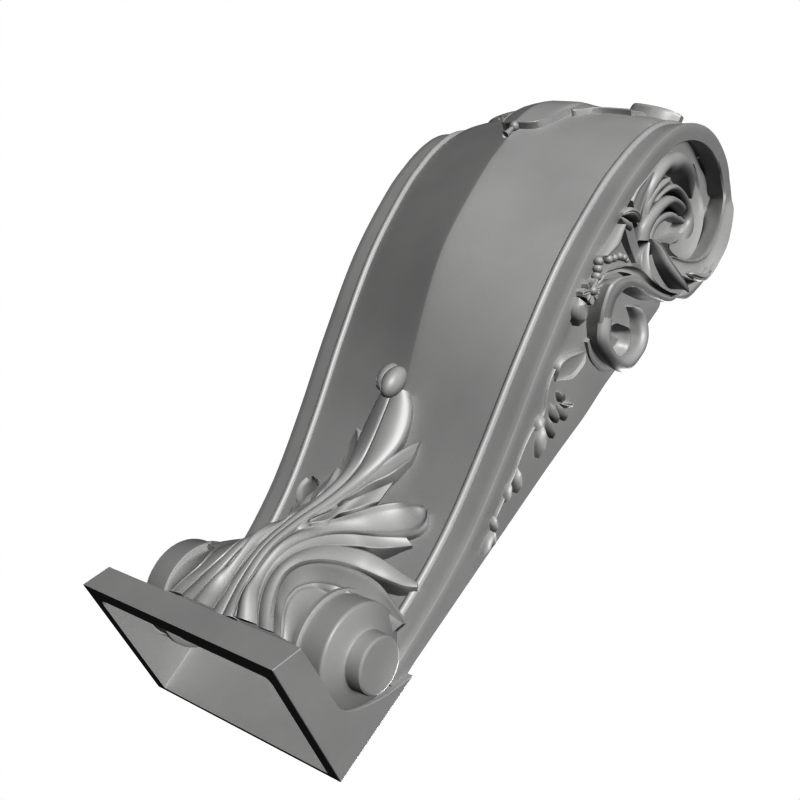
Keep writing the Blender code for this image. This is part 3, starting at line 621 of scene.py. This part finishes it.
garland = {
    "beads": [(-79.7, 367.5, 2.0), (-76.0, 373.5, 2.0), (-72.4, 379.6, 2.0), (-67.6, 384.0, 2.0),
              (-63.2, 386.4, 2.0)],
    "beadRadii": [3.4, 3.0, 3.0, 2.6, 1.8],
    "drop": [(-91.6, 393.3, 3.0), (-90.5, 384.7, 3.4), (-89.9, 373.0, 4.0), (-89.9, 362.0, 4.0)],
    "dropHalf": [4.0, 5.5, 8.0, 5.0],
    "stalkBuds": [(-86.7, 356.7, 2.5), (-83.0, 353.5, 2.5), (-79.4, 349.8, 2.5)],
    "flowerAt": (-75.8, 339.3, 3.0),
    "flowerTips": [(-84.4, 337.5), (-79.5, 346.9), (-76.2, 354.9), (-68.3, 351.6), (-67.0, 343.4),
                   (-67.9, 333.7), (-75.2, 330.7), (-82.3, 328.1)],
    "bud": {"outer": [(-81.3, 325.8, 3.0), (-78.4, 318.7, 3.0), (-73.1, 315.6, 3.0), (-64.1, 316.3, 2.0)],
            "inner": [(-81.3, 326.0, 3.0), (-71.8, 329.5, 3.0), (-66.0, 326.9, 3.0), (-63.1, 317.4, 2.0)]},
    "petal": {"outer": [(-43.5, 314.6, 2.6), (-51.0, 305.0, 2.8), (-58.0, 293.0, 2.8), (-57.4, 284.4, 2.0),
                        (-48.8, 279.4, 1.0)],
              "inner": [(-40.5, 313.5, 2.6), (-36.6, 306.0, 2.8), (-36.8, 294.0, 2.8), (-42.0, 285.6, 2.0),
                        (-47.6, 279.2, 1.0)]},
    "stem": [(-55.5, 284.0), (-51.5, 272.6), (-42.7, 262.8), (-37.2, 255.8), (-37.6, 244.1), (-35.1, 232.9),
             (-30.3, 220.7), (-27.1, 214.2), (-24.3, 205.9), (-20.0, 194.6), (-17.5, 185.9),
             (-12.7, 177.9)],
    "smallBuds": [  # root, tip, half width, height
        ((-29.2, 278.3), (-40.4, 276.4), 3.0, 3.2), ((-38.3, 267.1), (-23.2, 263.8), 3.2, 3.4),
        ((-32.3, 273.0), (-17.2, 271.5), 3.0, 3.6), ((-29.6, 275.6), (-19.6, 284.5), 2.8, 3.2),
        ((-38.8, 256.7), (-36.2, 244.5), 3.2, 3.0), ((-32.5, 253.0), (-17.5, 236.4), 4.2, 3.8),
        ((-32.6, 259.9), (-17.4, 254.8), 2.6, 3.4), ((-27.6, 217.9), (-15.6, 206.9), 3.4, 3.4),
        ((-25.7, 207.7), (-19.2, 195.5), 2.3, 2.4), ((-19.3, 183.4), (-11.5, 176.7), 2.4, 2.6),
        ((-11.7, 177.6), (-7.5, 160.4), 2.4, 2.8), ((-11.5, 178.2), (-4.8, 169.7), 2.0, 2.4)],
}


def budShape(root, tip, width, height):  # a swelling leaf bud lying on the side, from its root to its tip
    root = np.array(root)
    tip = np.array(tip)
    along = unit(tip - root)
    across = np.array([-along[1], along[0]])
    outer = []
    inner = []
    for t, w, stand in ((0.0, 0.15, 0.2), (0.25, 0.8, 1.0), (0.5, 1.0, 1.8), (0.8, 0.6, 2.4),
                        (1.0, 0.06, 2.6)):
        p = root + (tip - root) * t
        outer.append((*(p + across * width * w), stand))
        inner.append((*(p - across * width * w), stand))
    return carvedLobe(onSide(outer), onSide(inner), outFromSide,
                      {"crown": height, "vein": height * 0.3, "sink": 5.0, "full": width * 0.8,
                       "edge": 1.0},
                      steps=16, across=10, square=True)


def garlandShapes():
    shapes = []
    for (y, z, stand), radius in zip(garland["beads"], garland["beadRadii"]):
        shapes.append(ballShape((sideX(z, stand), y, z), (radius * 1.1, radius, radius), 20, 12))
    drop = np.array(garland["drop"])
    half = np.array(garland["dropHalf"])
    outer = [(y, z - h * 0.6, s) for (y, z, s), h in zip(drop, half)]
    inner = [(y + h * 0.9, z + h * 0.6, s) for (y, z, s), h in zip(drop, half)]
    shapes.append(carvedLobe(onSide(outer), onSide(inner), outFromSide,
                             {"crown": 5.0, "sink": 6.0, "full": 6.0, "edge": 2.0}, square=True))
    for y, z, stand in garland["stalkBuds"]:
        shapes.append(ballShape((sideX(z, stand), y, z), (3.6, 3.4, 3.4), 20, 12))
    y0, z0, stand = garland["flowerAt"]
    for y1, z1 in garland["flowerTips"]:
        tip = np.array([y1, z1])
        root = np.array([y0, z0])
        along = unit(tip - root)
        across = np.array([-along[1], along[0]])
        outer = []
        inner = []
        for t, w in ((0.0, 1.2), (0.35, 2.4), (0.75, 3.4), (1.0, 1.6)):
            p = root + (tip - root) * t
            outer.append((*(p + across * w), stand + 0.8 * t))
            inner.append((*(p - across * w), stand + 0.8 * t))
        shapes.append(carvedLobe(onSide(outer), onSide(inner), outFromSide,
                                 {"crown": 1.6, "rim": 0.7, "vein": 0.8, "sink": 6.0, "full": 2.0,
                                  "edge": 1.2},
                                 steps=14, across=12, square=True))
    shapes.append(ballShape((sideX(z0, stand + 1.5), y0, z0), (3.2, 3.4, 3.4), 20, 12))
    for key in ("bud", "petal"):
        look = {"crown": 4.6 if key == "bud" else 3.0, "vein": 1.4, "sink": 5.0, "full": 5.0, "edge": 1.6}
        if key == "petal":
            look.update({"rim": 2.4, "vein": 0.0, "crown": -0.5})
        shapes.append(carvedLobe(onSide(garland[key]["outer"]), onSide(garland[key]["inner"]),
                                 outFromSide, look,
                                 square=True))
    stem = smoothLine(garland["stem"], 60)
    outer = [(y - 0.7, z, 0.3) for y, z in stem[::4]]
    inner = [(y + 0.7, z, 0.3) for y, z in stem[::4]]
    shapes.append(carvedLobe(onSide(outer), onSide(inner), outFromSide,
                             {"crown": 1.4, "sink": 2.0, "full": 0.9, "edge": 0.3}, steps=60, across=8,
                             square=True))
    for root, tip, width, height in garland["smallBuds"]:
        shapes.append(budShape(root, tip, width, height))
    return shapes


hangingGarland = finishPiece("hangingGarland", bothSides(garlandShapes()), paintedShadeStone, sharp=40.0)

# roll

roll = {
    "y": -40.0, "z": 57.5,
    # from the leaf outwards: distance from the middle, radius
    "profile": [(34.0, 0.0), (34.0, 30.0), (57.6, 30.0), (57.9, 34.6), (58.5, 35.5), (61.2, 35.5),
                (61.8, 34.8), (62.0, 33.2), (66.0, 33.0), (78.4, 33.0), (79.6, 32.8), (80.4, 32.2),
                (80.9, 31.2), (82.4, 26.0), (83.8, 20.6), (84.2, 18.6), (84.8, 18.0), (86.0, 17.8),
                (93.2, 17.8), (94.6, 17.4), (95.3, 16.5), (95.5, 15.4), (95.5, 0.0)],
}

rollEnd = turnedShape(roll["profile"], roll["y"], roll["z"])
rollCore = turnedShape([(-56.0, 0.0), (-56.0, 31.5), (56.0, 31.5), (56.0, 0.0)], roll["y"], roll["z"])
turnedRoll = finishPiece("turnedRoll", bothSides([rollEnd]) + [rollCore], stone, sharp=35.0)

# acanthus leaf

leaf = {
    "blade": {
        "outer": [(0.0, -69.5, 232.0), (0.0, -63.0, 214.0), (0.0, -56.5, 194.0), (0.0, -52.5, 176.0),
                  (0.0, -54.0, 157.0), (0.0, -61.0, 134.0), (0.0, -71.0, 112.0), (0.0, -78.5, 86.0),
                  (0.0, -77.5, 62.0), (0.0, -72.0, 38.0)],
        "inner": [(11.0, -66.5, 235.0), (15.0, -61.5, 229.0), (18.0, -56.0, 219.5), (19.0, -52.0, 208.0),
                  (18.0, -50.0, 197.0), (14.5, -49.5, 184.0), (10.5, -51.0, 169.0), (8.0, -55.5, 152.0),
                  (6.5, -62.0, 134.0), (5.5, -70.0, 113.0), (5.0, -77.0, 90.0), (6.0, -77.5, 64.0),
                  (8.5, -72.8, 40.0)],
        "look": {"crown": 2.6, "root": 1.2, "sink": 14.0, "full": 4.0, "edge": 1.6}},
    "tooth1": {
        "outer": [(29.0, -48.0, 209.6), (23.5, -48.2, 204.8), (16.7, -48.3, 193.9), (11.4, -48.8, 181.3),
                  (5.6, -50.7, 165.7), (7.8, -54.6, 149.1), (7.0, -60.4, 134.8), (6.0, -67.7, 118.1),
                  (5.5, -72.4, 100.9), (5.5, -76.9, 84.3), (5.5, -77.6, 69.2), (5.5, -76.8, 54.2),
                  (8.0, -73.0, 40.3)],
        "inner": [(29.1, -44.5, 194.8), (25.4, -44.9, 186.3), (21.3, -45.6, 177.5), (14.7, -48.5, 166.3),
                  (10.5, -51.6, 153.2), (9.5, -57.3, 141.1), (8.6, -60.8, 129.9), (7.4, -70.1, 115.5),
                  (7.0, -72.4, 100.5), (7.0, -77.5, 83.6), (7.0, -77.6, 68.8), (7.0, -76.7, 54.4),
                  (8.4, -72.8, 40.5)],
        "look": {"crown": -0.6, "root": 0.4, "rim": 0.3, "sink": 14.0, "full": 3.0, "edge": 0.6}},
    "tooth2": {
        "outer": [(26.0, -43.1, 176.4), (22.2, -45.9, 168.7), (17.6, -48.7, 159.9), (13.8, -54.2, 147.4),
                  (9.0, -57.8, 135.0), (7.9, -65.8, 121.2), (7.0, -70.7, 110.6), (7.0, -72.2, 99.7),
                  (7.0, -77.3, 83.9), (7.0, -77.4, 69.1), (7.0, -76.5, 54.7), (8.6, -72.6, 40.7)],
        "inner": [(26.5, -44.3, 157.7), (22.0, -51.3, 146.0), (15.5, -55.1, 136.1), (15.6, -63.3, 123.8),
                  (9.5, -67.2, 116.5), (8.5, -70.2, 108.2), (8.5, -76.0, 94.7), (8.5, -77.8, 81.6),
                  (8.5, -77.7, 67.7), (8.5, -76.7, 55.1), (10.0, -73.0, 40.9)],
        "look": {"crown": -0.4, "root": 0.4, "sink": 14.0, "full": 3.0, "edge": 0.6}},
    "bigLobe": {
        "outer": [(50.2, -34.1, 169.3), (42.7, -37.3, 167.8), (33.8, -38.9, 164.4), (26.8, -44.3, 155.9),
                  (22.5, -51.8, 143.2), (16.6, -57.0, 131.5), (12.0, -63.6, 119.5), (8.5, -70.6, 107.0),
                  (8.5, -76.4, 93.7), (8.5, -77.6, 79.9), (8.5, -77.5, 66.4), (8.5, -77.0, 53.4),
                  (12.3, -73.3, 40.1)],
        "inner": [(56.0, -33.1, 167.4), (59.7, -30.7, 158.6), (56.6, -29.6, 151.1), (49.4, -30.8, 145.3),
                  (39.8, -37.8, 137.4), (26.4, -49.7, 126.8), (19.5, -59.7, 115.9), (16.9, -70.0, 102.7),
                  (15.3, -76.8, 88.5), (14.3, -78.2, 74.1), (16.3, -76.7, 62.4), (21.8, -75.8, 51.7),
                  (27.3, -72.2, 41.7)],
        "look": {"crown": -2.6, "root": 5.6, "rim": 1.6, "sink": 16.0, "full": 5.0, "edge": 1.6}},
    "pointed": {
        "outer": [(51.1, -30.8, 145.3), (39.8, -37.8, 137.4), (26.5, -49.6, 126.7), (19.5, -59.7, 115.9),
                  (16.9, -69.8, 102.5), (15.4, -76.6, 88.2), (15.5, -78.4, 73.9), (17.3, -77.3, 62.3),
                  (22.0, -75.7, 51.8), (27.4, -72.1, 41.7)],
        "inner": [(56.5, -26.6, 142.8), (47.2, -33.4, 133.2), (40.0, -41.3, 125.4), (33.1, -45.4, 121.5),
                  (26.9, -56.0, 112.4), (22.2, -64.7, 102.8), (19.6, -72.5, 90.6), (18.6, -77.0, 76.3),
                  (20.0, -77.0, 63.4), (24.6, -75.8, 51.1), (29.3, -71.6, 41.3)],
        "look": {"crown": -0.4, "root": -0.6, "sink": 16.0, "full": 3.0, "edge": 0.8}},
    "longLobe": {
        "outer": [(72.7, -22.6, 121.2), (60.6, -26.6, 123.1), (47.9, -35.3, 123.9), (40.1, -43.3, 121.9),
                  (31.5, -48.0, 118.7), (25.0, -57.2, 111.4), (21.7, -67.0, 100.9), (19.9, -74.7, 87.6),
                  (18.6, -77.3, 74.6), (20.4, -77.1, 61.9), (24.7, -75.0, 50.3), (30.0, -71.9, 40.7)],
        "inner": [(73.9, -22.2, 118.0), (67.7, -25.2, 113.9), (54.7, -31.6, 111.4), (45.1, -40.7, 108.3),
                  (37.0, -50.7, 104.1), (31.0, -61.9, 96.1), (28.2, -70.7, 87.0), (26.6, -74.7, 77.4),
                  (28.1, -75.8, 68.2), (32.0, -75.4, 58.2), (36.5, -73.7, 49.4), (41.7, -71.8, 41.3)],
        "look": {"crown": 1.0, "root": 1.8, "lip": 1.2, "sink": 16.0, "full": 4.0, "edge": 1.2}},
    "lowLobe": {
        "outer": [(79.9, -20.3, 94.3), (69.1, -26.8, 101.0), (58.4, -35.6, 106.6), (45.2, -40.5, 108.1),
                  (37.7, -51.1, 103.5), (31.0, -61.8, 95.9), (29.1, -71.1, 86.6), (27.5, -75.1, 77.1),
                  (28.3, -75.5, 68.2), (33.0, -75.8, 57.9), (36.8, -73.6, 49.6), (42.7, -72.3, 41.0)],
        "inner": [(85.1, -30.9, 87.5), (79.0, -43.7, 85.5), (71.4, -49.7, 83.1), (64.7, -58.8, 81.8),
                  (57.5, -66.3, 80.0), (46.5, -68.9, 77.3), (41.6, -73.5, 70.5), (40.6, -75.0, 62.7),
                  (42.7, -74.9, 54.9), (47.1, -74.1, 47.1), (50.6, -71.7, 40.3)],
        "look": {"crown": 1.0, "root": 0.6, "rim": 1.0, "lip": 0.8, "sink": 18.0, "full": 4.0,
                 "edge": 1.2}},
    "skirt": {
        "outer": [(68.1, -53.8, 82.1), (60.8, -61.8, 80.7), (50.5, -65.3, 80.0), (45.6, -69.2, 76.6),
                  (41.6, -73.4, 70.3), (40.8, -74.7, 62.6), (43.0, -74.7, 55.1), (47.3, -74.0, 47.3),
                  (50.8, -71.7, 40.4)],
        "inner": [(70.2, -51.3, 81.6), (64.1, -61.5, 76.2), (61.1, -68.2, 68.4), (58.9, -72.2, 58.0),
                  (59.0, -72.5, 48.2), (58.8, -69.9, 40.3)],
        "look": {"crown": -0.6, "root": -1.4, "sink": 14.0, "full": 4.0, "edge": 0.4}},
    "balls": [((3.2, -76.0, 233.5), (7.4, 8.4, 13.2)), ((-5.0, -75.5, 237.5), (6.4, 7.4, 11.8))],
}


def outFromLeaf(p):  # outward from the roll below and from the panel above
    away = unit(np.array([p[0] * 0.35, p[1] - roll["y"], p[2] - roll["z"]]))
    blend = ease(p[2], 70.0, 130.0)
    return unit(away * (1 - blend) + np.array([0.1, -0.93, -0.3]) * blend)


acanthusShapes = []
for name, piece in leaf.items():
    if name != "balls":
        acanthusShapes.append(carvedLobe(piece["outer"], piece["inner"], outFromLeaf, piece["look"],
                                         steps=60, across=18))
acanthusShapes = bothSides(acanthusShapes)
for center, radii in leaf["balls"]:
    acanthusShapes.append(ballShape(center, radii, 48, 32))
acanthusLeaf = finishPiece("acanthusLeaf", acanthusShapes, stone, sharp=42.0)

# crest shield

shield = {
    "tipHeight": 456.0, "top": 125.0, "thickness": 6.0, "wing": 4.4, "half": 68.0,
    "leftLift": 12.0,  # the left wing starts a little further up the crown
    "columns": 136,
    "edge": [(0.0, 0.0), (2.0, 0.2), (6.0, 1.0), (11.0, 2.5), (16.0, 5.5), (19.5, 10.0), (22.0, 17.0),
             (23.6, 27.0), (25.6, 37.0), (27.6, 33.5), (30.5, 34.5), (34.0, 39.0), (39.0, 45.0),
             (46.0, 48.5), (57.0, 50.0), (68.0, 50.0)],
    "bulge": 2.6,  # how far the middle swells above the rim
    "ear": {"x": (49.0, 92.0), "run": 85.0, "half": 11.0, "stand": 11.5},
}
shieldStart = runAt(shield["tipHeight"])


def onFront(x, run, lift):  # a place over the ridged front, run up the front line from the shield's tip
    s = min(shieldStart + run, frontRun[-1] - 1.0)
    pos = float(np.interp(s, frontRun, np.arange(len(frontRun))))
    k = min(int(pos), len(frontLine) - 2)
    base = frontLine[k] + (frontLine[k + 1] - frontLine[k]) * (pos - k)
    normal = unit(frontNormal(k) * (1 - pos + k) + frontNormal(k + 1) * (pos - k))
    panel = sideX(base[1]) - block["border"] - block["fillet"]
    y, z = base + normal * (panelRise(abs(x) / panel, base[1]) + lift)
    return (x, min(y, -0.4), z)


def shieldShape():
    edge = smoothLine(shield["edge"], 160)
    edgeX = edge[:, 0]
    edgeRun = edge[:, 1]
    rings = []
    columns = shield["columns"]
    for c in range(columns + 1):
        x = -shield["half"] + 2 * shield["half"] * c / columns
        low = float(np.interp(abs(x), edgeX, edgeRun)) + shield["leftLift"] * ease(-x, 14.0, 34.0)
        thick = shield["thickness"] + (shield["wing"] - shield["thickness"]) * ease(abs(x), 20.0, 34.0)
        ring = [onFront(x, low + r, lift) for r, lift in
                ((0.0, -4.0), (0.0, thick - 0.6), (0.5, thick), (1.5, thick), (2.6, thick - 0.9))]
        for k in range(1, 14):
            swell = shield["bulge"] * math.sin(math.pi * k / 13) * (1 - (x / shield["half"]) ** 2)
            ring.append(onFront(x, low + 2.6 + (shield["top"] - low - 2.6) * k / 13, thick - 0.9 + swell))
        for k in range(13, 0, -1):
            ring.append(onFront(x, low + 2.6 + (shield["top"] - low - 2.6) * k / 13, -4.0))
        rings.append(ring)
    return closedShape(rings)


def earShape():
    ear = shield["ear"]
    left = []
    right = []
    for t, w in ((0.0, 0.15), (0.12, 0.75), (0.4, 1.0), (0.75, 0.8), (1.0, 0.2)):
        x = ear["x"][0] + (ear["x"][1] - ear["x"][0]) * t
        left.append(onFront(x, ear["run"] - ear["half"] * w, ear["stand"] - 4.0 * t))
        right.append(onFront(x, ear["run"] + ear["half"] * w, ear["stand"] - 4.0 * t))
    return carvedLobe(left, right, lambda p: unit(np.array([0.0, p[1] + 40.0, p[2] - 470.0])),
                      {"crown": 2.4, "rim": 0.8, "vein": 0.8, "sink": 10.0, "full": 5.0, "edge": 1.2},
                      steps=30,
                      across=16)


def tassel(x, run, size):  # a small ball with a bell-mouthed drop below it
    center = Vector(onFront(x, run, 2.4 * size))
    drop = Vector(onFront(x, run - 12.5 * size, 3.4 * size))
    ball = ballShape(center, [3.9 * size] * 3, 24, 16)
    bell = bmesh.new()
    bmesh.ops.create_cone(bell, cap_ends=True, segments=24, radius1=1.4 * size, radius2=2.8 * size,
                          depth=(drop - center).length)
    bmesh.ops.inset_region(bell, faces=[f for f in bell.faces if f.normal.z > 0.9], thickness=0.5 * size,
                           depth=-1.6 * size)
    turn = (drop - center).to_track_quat("Z", "Y").to_matrix().to_4x4()
    bmesh.ops.transform(bell, matrix=Matrix.Translation((center + drop) / 2) @ turn, verts=bell.verts)
    return [ball, bell]


crestShapes = [shieldShape()] + bothSides([earShape()])
crestShapes += tassel(0.0, -1.0, 1.0) + bothSides(tassel(59.0, 68.0, 0.7))
crestShield = finishPiece("crestShield", crestShapes, stone, sharp=30.0)

# the foot collar keeps its own shape

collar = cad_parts["foot_collar"]
collar.data.materials.clear()
collar.data.materials.append(stone)
print("finished", collar.name)

# studio

studio = {
    "floorDrop": 2.4, "floorHalf": 6.0,  # metres
    "floorDark": (0.78, 0.78, 0.78), "floorLight": (0.82, 0.82, 0.82), "floorRoughness": 0.9,
    "backdrop": 1.0, "ambient": 0.10,
    # azimuth from the front towards +X, lift, distance, size across, power, casts shadows
    "keyLight": (39.5, 2.0, 9.0, 1.5, 1320.0, False),
    "sideLight": (112.0, 2.0, 3.0, 1.2, 14.0, False),
    "leftLight": (-100.0, 2.0, 3.0, 1.2, 42.0, True),
    "backLight": (180.0, 12.0, 3.0, 1.2, 90.0, True),
}

floorMaker = FinishMaker("paleFloor")
floorPlace = floorMaker.node("ShaderNodeTexCoord", {}, {}).outputs["Object"]
floorCloud = floorMaker.number("ShaderNodeTexNoise", {}, {"Vector": floorPlace, "Scale": 0.6,
                                                          "Detail": 2.0})
floorRamp = floorMaker.node("ShaderNodeValToRGB",
                            {"stops": [(0.3, studio["floorDark"]),
                                       (0.7, studio["floorLight"])]}, {"Fac": floorCloud})
floorMaker.tree.links.new(floorRamp.outputs["Color"], floorMaker.shader.inputs["Base Color"])
floorMaker.shader.inputs["Roughness"].default_value = studio["floorRoughness"]

floorMesh = bpy.data.meshes.new("studioFloor")
floorBm = bmesh.new()
bmesh.ops.create_grid(floorBm, x_segments=2, y_segments=2, size=studio["floorHalf"])
bmesh.ops.translate(floorBm, verts=floorBm.verts, vec=Vector((0.0, 0.0, -studio["floorDrop"])))
floorBm.to_mesh(floorMesh)
floorBm.free()
floorMesh.materials.append(floorMaker.material)
studioFloor = bpy.data.objects.new("studioFloor", floorMesh)
scene.collection.objects.link(studioFloor)
studioFloor.visible_diffuse = False
studioFloor.visible_glossy = False

world = bpy.data.worlds.new("studioWorld")
scene.world = world
world.use_nodes = True
worldTree = world.node_tree
background = worldTree.nodes["Background"]
background.inputs["Color"].default_value = (1.0, 1.0, 1.0, 1.0)
background.inputs["Strength"].default_value = studio["ambient"]
backdrop = worldTree.nodes.new("ShaderNodeBackground")
backdrop.inputs["Color"].default_value = (1.0, 1.0, 1.0, 1.0)
backdrop.inputs["Strength"].default_value = studio["backdrop"]
choice = worldTree.nodes.new("ShaderNodeMixShader")
rays = worldTree.nodes.new("ShaderNodeLightPath")
worldTree.links.new(rays.outputs["Is Camera Ray"], choice.inputs[0])
worldTree.links.new(background.outputs[0], choice.inputs[1])
worldTree.links.new(backdrop.outputs[0], choice.inputs[2])
worldTree.links.new(choice.outputs[0], worldTree.nodes["World Output"].inputs["Surface"])


def addLight(name):  # a round soft light that looks at the bracket
    azimuth, lift, distance, size, power, shadow = studio[name]
    a = math.radians(azimuth)
    e = math.radians(lift)
    away = Vector((math.sin(a) * math.cos(e), -math.cos(a) * math.cos(e), math.sin(e)))
    data = bpy.data.lights.new(name, "AREA")
    data.shape = "DISK"
    data.size = size
    data.energy = power
    data.use_shadow = shadow
    light = bpy.data.objects.new(name, data)
    light.location = away * distance
    light.rotation_euler = away.to_track_quat("Z", "Y").to_euler()
    scene.collection.objects.link(light)


for name in ("keyLight", "sideLight", "leftLight", "backLight"):
    addLight(name)
print("lit")

viewpoint = {  # below, in front and to the right, as the photograph was taken
    "place": (0.4253, -0.4743, -0.3601),
    "right": (0.7666705644, 0.3814706204, 0.5164265790),
    "down": (0.1356157200, 0.6899857297, -0.7110049713),
    "forward": (-0.6275544775, 0.6151421450, 0.4772583360),
    "sensor": 36.0, "lens": 43.49, "near": 0.01,
    "contrast": 0.4545,  # the plain contrast of the photograph
}

camera = bpy.data.objects.new("camera", bpy.data.cameras.new("camera"))
camera.data.sensor_width = viewpoint["sensor"]
camera.data.lens = viewpoint["lens"]
camera.data.clip_start = viewpoint["near"]
axes = Matrix((viewpoint["right"], -Vector(viewpoint["down"]), -Vector(viewpoint["forward"])))
camera.matrix_world = Matrix.Translation(viewpoint["place"]) @ axes.transposed().to_4x4()
scene.collection.objects.link(camera)
scene.camera = camera
scene.view_settings.view_transform = "Standard"
scene.view_settings.gamma = viewpoint["contrast"]
